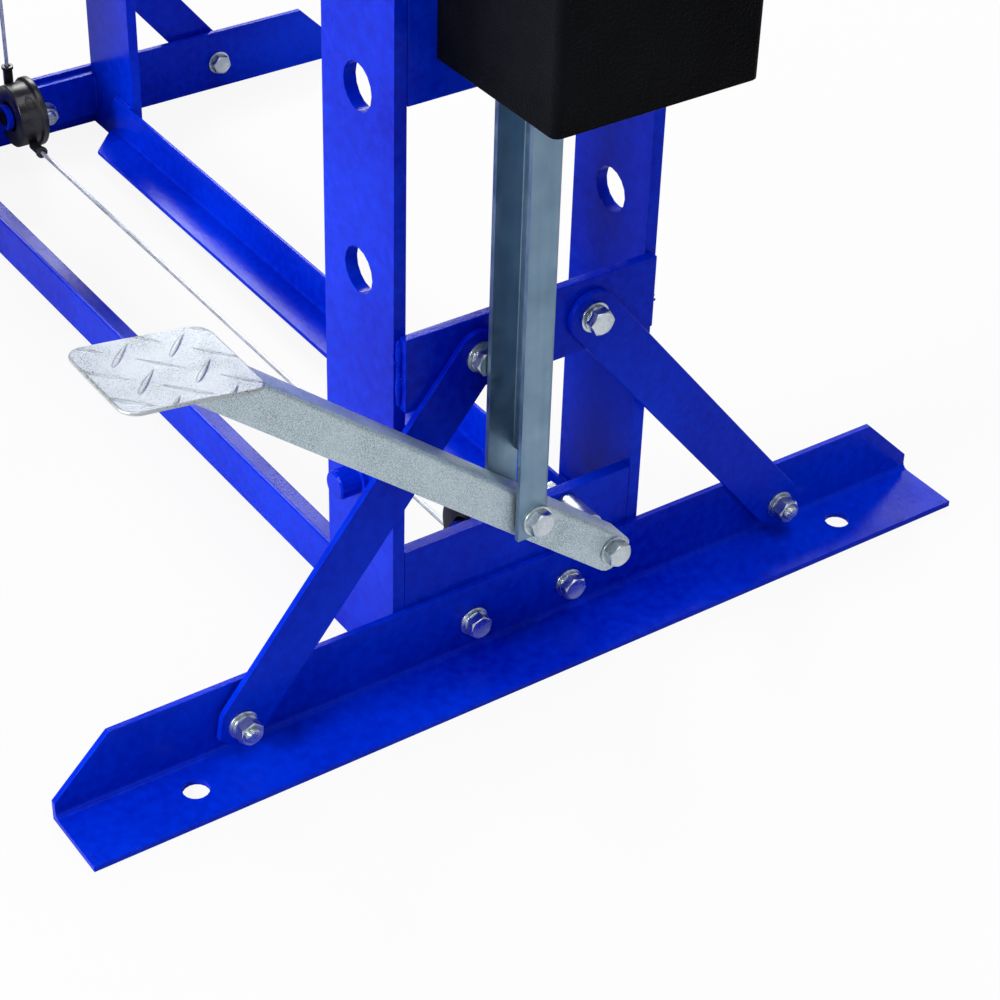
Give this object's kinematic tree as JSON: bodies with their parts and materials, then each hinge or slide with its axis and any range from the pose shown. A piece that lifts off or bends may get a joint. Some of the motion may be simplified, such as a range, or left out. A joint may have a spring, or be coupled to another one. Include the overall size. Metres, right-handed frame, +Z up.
{
  "type": "hydraulic shop press",
  "caption": "Floor-standing H-frame hydraulic press with a height-adjustable bed, foot pedal and hand lever pump box, and a rope winch for the bed.",
  "frame": {"origin": "on the floor, midway between the two feet and midway between the front and rear posts", "axes": "+Z up, +X across the press towards the pump side, -Y towards the operator"},
  "size_m": [1.232, 0.79, 1.885],
  "materials": {
    "blue_paint": "glossy blue powder coat",
    "black_paint": "satin black powder coat",
    "hard_chrome": "ground and hard chromed",
    "machined_steel": "machined",
    "zinc_plate": "bright zinc plated",
    "steel_rope": "galvanised wire rope",
    "black_plastic": "moulded",
    "cast_pump": "as cast",
    "needle_red": "painted"
  },
  "bodies": {
    "frame": {"foot_right": "blue_paint", "foot_left": "blue_paint", "post_right_front": "blue_paint", "post_right_rear": "blue_paint", "post_left_front": "blue_paint", "post_left_rear": "blue_paint", "rail_front": "blue_paint", "rail_rear": "blue_paint", "low_plate_right": "blue_paint", "low_plate_left": "blue_paint", "mid_plate_right": "blue_paint", "mid_plate_left": "blue_paint", "brace_right_front": "blue_paint", "brace_right_rear": "blue_paint", "brace_left_front": "blue_paint", "brace_left_rear": "blue_paint", "head_beam_front": "blue_paint", "head_beam_rear": "blue_paint", "head_seat_plate": "blue_paint", "cylinder_body": "black_paint", "post_peg": "blue_paint", "pulley_guard_right": "black_plastic", "pulley_guard_left": "black_plastic", "low_axle_right": "black_paint", "low_axle_left": "black_paint", "high_axle_right": "zinc_plate", "high_axle_left": "zinc_plate", "rope_under": "steel_rope", "rope_over": "steel_rope", "pump_mounting_plate": "blue_paint", "pump_box": "black_paint", "pump_block": "cast_pump", "pedal_pivot_bolt": "zinc_plate", "pressure_pipe": "machined_steel", "gauge_body": "black_paint", "winch_frame": "black_paint"},
    "ram_assembly": {"ram": "hard_chrome", "ram_nose": "machined_steel"},
    "bed": {"bed_frame": "blue_paint", "support_block_right": "machined_steel", "support_block_left": "machined_steel", "rope_drop_right": "steel_rope", "rope_drop_left": "steel_rope"},
    "pin_right": {"bed_pin_right": "zinc_plate"},
    "pin_left": {"bed_pin_left": "zinc_plate"},
    "pedal": {"foot_lever": "zinc_plate", "pedal_plate": "zinc_plate", "push_rod_bolt": "zinc_plate"},
    "rod": {"push_rod": "zinc_plate"},
    "rocker": {"pump_rocker": "machined_steel", "hand_lever": "black_paint"},
    "plunger": {"pump_plunger": "hard_chrome"},
    "knob": {"valve_knob": "black_plastic"},
    "needle": {"gauge_needle": "needle_red"},
    "sheave_low_right": {"low_pulley_right": "black_plastic"},
    "sheave_low_left": {"low_pulley_left": "black_plastic"},
    "sheave_high_right": {"high_pulley_right": "black_plastic"},
    "sheave_high_left": {"high_pulley_left": "black_plastic"},
    "drum": {"winch_drum": "zinc_plate"},
    "crank": {"winch_crank": "zinc_plate"}
  },
  "joints": [
    {"name": "ram_stroke", "type": "slide", "parent": "frame", "child": "ram_assembly", "axis": [0, 0, -1], "range_m": [0, 0.16], "stiffness_N_per_m": 4000, "springref_m": -0.05},
    {"name": "bed_lift", "type": "slide", "parent": "frame", "child": "bed", "axis": [0, 0, 1], "range_m": [0, 0.28], "deforming": ["rope_drop_right", "rope_drop_left"]},
    {"name": "pin_right_slide", "type": "slide", "parent": "frame", "child": "pin_right", "axis": [0, -1, 0], "range_m": [0, 0.25]},
    {"name": "pin_left_slide", "type": "slide", "parent": "frame", "child": "pin_left", "axis": [0, -1, 0], "range_m": [0, 0.25]},
    {"name": "pedal_pivot", "type": "hinge", "parent": "frame", "child": "pedal", "pos_m": [0.5037, 0.041, 0.1], "axis": [1, 0, 0], "range_deg": [0, 20], "stiffness_Nm_per_rad": 20, "springref_deg": -28.65},
    {"name": "rod_pivot", "type": "hinge", "parent": "pedal", "child": "rod", "pos_m": [0.5037, -0.03649, 0.1632], "axis": [1, 0, 0], "range_deg": [-24, 2]},
    {"name": "rocker_pivot", "type": "hinge", "parent": "frame", "child": "rocker", "pos_m": [0.5037, 0.039, 0.64], "axis": [1, 0, 0], "range_deg": [-1, 24]},
    {"name": "plunger_slide", "type": "slide", "parent": "frame", "child": "plunger", "axis": [0, 0, 1], "range_m": [0, 0.0085]},
    {"name": "knob_turn", "type": "hinge", "parent": "frame", "child": "knob", "pos_m": [0.545, -0.0805, 0.72], "axis": [0, -1, 0], "range_deg": [0, 180]},
    {"name": "needle_turn", "type": "hinge", "parent": "frame", "child": "needle", "pos_m": [0.18, -0.13795, 1.655], "axis": [0, 1, 0], "range_deg": [0, 270]},
    {"name": "low_sheave_right_spin", "type": "hinge", "parent": "frame", "child": "sheave_low_right", "pos_m": [0.4016, 0, 0.061], "axis": [0, 1, 0], "continuous": true},
    {"name": "low_sheave_left_spin", "type": "hinge", "parent": "frame", "child": "sheave_low_left", "pos_m": [-0.4016, 0, 0.061], "axis": [0, 1, 0], "continuous": true},
    {"name": "high_sheave_right_spin", "type": "hinge", "parent": "frame", "child": "sheave_high_right", "pos_m": [0.4096, 0, 1.7], "axis": [0, 1, 0], "continuous": true},
    {"name": "high_sheave_left_spin", "type": "hinge", "parent": "frame", "child": "sheave_high_left", "pos_m": [-0.4332, 0, 1.7], "axis": [0, -1, 0], "continuous": true},
    {"name": "drum_spin", "type": "hinge", "parent": "frame", "child": "drum", "pos_m": [-0.4568, 0, 1.13], "axis": [0, -1, 0], "continuous": true},
    {"name": "crank_spin", "type": "hinge", "parent": "frame", "child": "crank", "pos_m": [-0.5088, 0, 1.13], "axis": [0, 1, 0], "continuous": true}
  ],
  "couplings": [
    {"joint": "rod_pivot", "follows": "pedal_pivot", "ratio": -1.098},
    {"joint": "rocker_pivot", "follows": "pedal_pivot", "ratio": 1.165},
    {"joint": "plunger_slide", "follows": "pedal_pivot", "m_per_rad": 0.0226},
    {"joint": "low_sheave_right_spin", "follows": "bed_lift", "rad_per_m": 40},
    {"joint": "low_sheave_left_spin", "follows": "bed_lift", "rad_per_m": 40},
    {"joint": "high_sheave_right_spin", "follows": "bed_lift", "rad_per_m": 40},
    {"joint": "high_sheave_left_spin", "follows": "bed_lift", "rad_per_m": 20.576},
    {"joint": "drum_spin", "follows": "bed_lift", "rad_per_m": 40},
    {"joint": "crank_spin", "follows": "bed_lift", "rad_per_m": 160}
  ]
}
